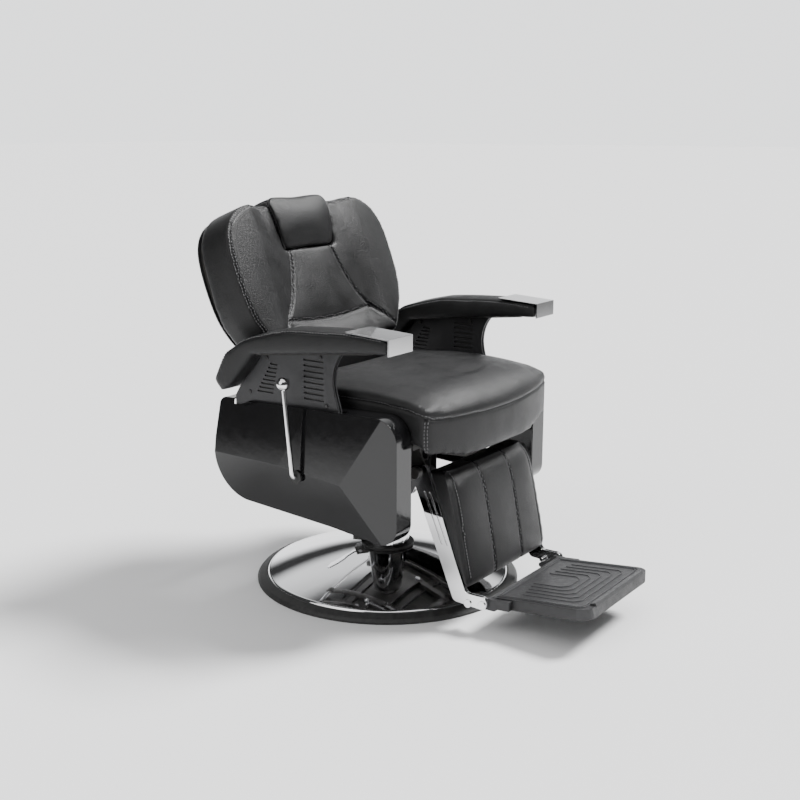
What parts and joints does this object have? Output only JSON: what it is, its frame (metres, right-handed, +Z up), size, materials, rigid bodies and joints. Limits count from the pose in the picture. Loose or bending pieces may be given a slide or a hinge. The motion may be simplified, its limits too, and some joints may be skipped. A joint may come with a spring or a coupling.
{
  "type": "hydraulic barber chair",
  "caption": "Barber chair on a round base with hydraulic lift, swivel, linked reclining back and leg rest, folding footplate, padded arms and a sliding headrest.",
  "frame": {"origin": "floor level at the centre of the round base", "axes": "+Z up; the sitter faces -Y; the reclining lever is on the -X side"},
  "size_m": [0.716, 0.9839, 0.9167],
  "materials": {
    "black_leather": "soft black artificial leather with a fine grain",
    "gloss_black": "polished black moulding",
    "matte_black": "satin black moulding",
    "black_rubber": "matt black rubber",
    "chrome": "polished chrome plate",
    "steel": "plain turned steel",
    "black_paint": "black powder coat",
    "black_board": "plywood sealed black",
    "cast_iron": "cast, oiled"
  },
  "bodies": {
    "base": {"floor_ring": "black_rubber", "ballast_plate": "cast_iron", "base_disc": "chrome", "pump_flange": "cast_iron", "flange_bolts": "steel", "pump_tube": "chrome", "column_collar": "black_rubber", "pump_gland": "chrome", "wiper_seal": "black_rubber", "inner_cylinder": "cast_iron", "plunger_barrel": "cast_iron", "plunger_spring": "steel", "pedal_bracket": "black_paint", "pedal_pin": "steel"},
    "pedal": {"foot_pedal": "chrome"},
    "plunger": {"pump_plunger": "steel"},
    "piston": {"piston_rod": "chrome", "piston_head": "steel"},
    "seat": {"swivel_socket": "black_paint", "mount_plate": "black_paint", "mount_bolts": "steel", "seat_rails": "black_paint", "front_tube": "black_paint", "cross_beams": "black_paint", "pivot_brackets": "black_paint", "pivot_bolts": "black_paint", "seat_board": "black_board", "seat_cushion": "black_leather", "left_side_cover": "gloss_black", "right_side_cover": "gloss_black", "lever_grommet": "black_rubber", "arm_cores": "black_paint", "outer_louvre_plates": "matte_black", "inner_louvre_plates": "matte_black", "louvre_screws": "black_paint", "arm_boards": "black_board", "left_arm_pad": "black_leather", "right_arm_pad": "black_leather", "arm_caps": "chrome"},
    "back": {"back_irons": "black_paint", "crank_shaft": "steel", "back_cushion": "black_leather", "back_board": "black_board", "rear_panel": "matte_black", "headrest_sockets": "black_paint"},
    "headrest": {"headrest_pad": "black_leather", "headrest_posts": "steel"},
    "leg_rest": {"left_leg_bar": "chrome", "right_leg_bar": "chrome", "leg_cross_tube": "black_paint", "leg_board": "black_board", "leg_pad": "black_leather", "footplate_pins": "chrome"},
    "footrest": {"footplate": "matte_black"},
    "links": {"recline_links": "black_paint"},
    "gas_rod": {"gas_rod": "steel"},
    "gas_cylinder": {"gas_cylinder": "black_paint"},
    "lever": {"recline_lever": "chrome", "lever_ball": "chrome"},
    "release": {"release_rod": "steel"}
  },
  "joints": [
    {"name": "lift", "type": "slide", "parent": "base", "child": "piston", "axis": [0, 0, 1], "range_m": [0, 0.15]},
    {"name": "swivel", "type": "hinge", "parent": "piston", "child": "seat", "pos_m": [0, 0, 0.345], "axis": [0, 0, 1], "continuous": true},
    {"name": "recline", "type": "hinge", "parent": "seat", "child": "back", "pos_m": [0, 0.19, 0.38], "axis": [-1, 0, 0], "range_deg": [0, 40]},
    {"name": "leg_raise", "type": "hinge", "parent": "seat", "child": "leg_rest", "pos_m": [0, -0.204, 0.336], "axis": [-1, 0, 0], "range_deg": [0, 40]},
    {"name": "footplate_fold", "type": "hinge", "parent": "leg_rest", "child": "footrest", "pos_m": [0, -0.38, 0.066], "axis": [-1, 0, 0], "range_deg": [0, 85]},
    {"name": "headrest_slide", "type": "slide", "parent": "back", "child": "headrest", "axis": [0, 0.3567, 0.9342], "range_m": [0, 0.09]},
    {"name": "link_turn", "type": "hinge", "parent": "back", "child": "links", "pos_m": [0, 0.21, 0.3397], "axis": [-1, 0, 0], "range_deg": [-40, 0]},
    {"name": "gas_tilt", "type": "hinge", "parent": "seat", "child": "gas_rod", "pos_m": [-0.095, -0.185, 0.318], "axis": [-1, 0, 0], "range_deg": [0, 0.6]},
    {"name": "gas_stroke", "type": "slide", "parent": "gas_rod", "child": "gas_cylinder", "axis": [0, -0.9985, -0.0549], "range_m": [0, 0.032]},
    {"name": "lever_pull", "type": "hinge", "parent": "seat", "child": "lever", "pos_m": [-0.35, 0.006, 0.328], "axis": [-1, 0, 0], "range_deg": [0, 20], "stiffness_Nm_per_rad": 1.2, "springref_deg": -28.65},
    {"name": "release_pull", "type": "slide", "parent": "seat", "child": "release", "axis": [0, -1, 0], "range_m": [0, 0.009]},
    {"name": "pedal_press", "type": "hinge", "parent": "base", "child": "pedal", "pos_m": [-0.03043, 0.06525, 0.105], "axis": [-0.9063, -0.4226, 0], "range_deg": [0, 20], "stiffness_Nm_per_rad": 4, "springref_deg": -14.32},
    {"name": "plunger_lift", "type": "slide", "parent": "base", "child": "plunger", "axis": [0, 0, 1], "range_m": [0, 0.0112], "deforming": ["plunger_spring"]}
  ],
  "couplings": [
    {"joint": "leg_raise", "follows": "recline", "ratio": 1},
    {"joint": "link_turn", "follows": "recline", "ratio": -1},
    {"joint": "gas_tilt", "follows": "recline", "ratio": 0.0115},
    {"joint": "gas_stroke", "follows": "recline", "m_per_rad": 0.0439},
    {"joint": "release_pull", "follows": "lever_pull", "m_per_rad": 0.0247},
    {"joint": "plunger_lift", "follows": "pedal_press", "m_per_rad": 0.0312}
  ]
}
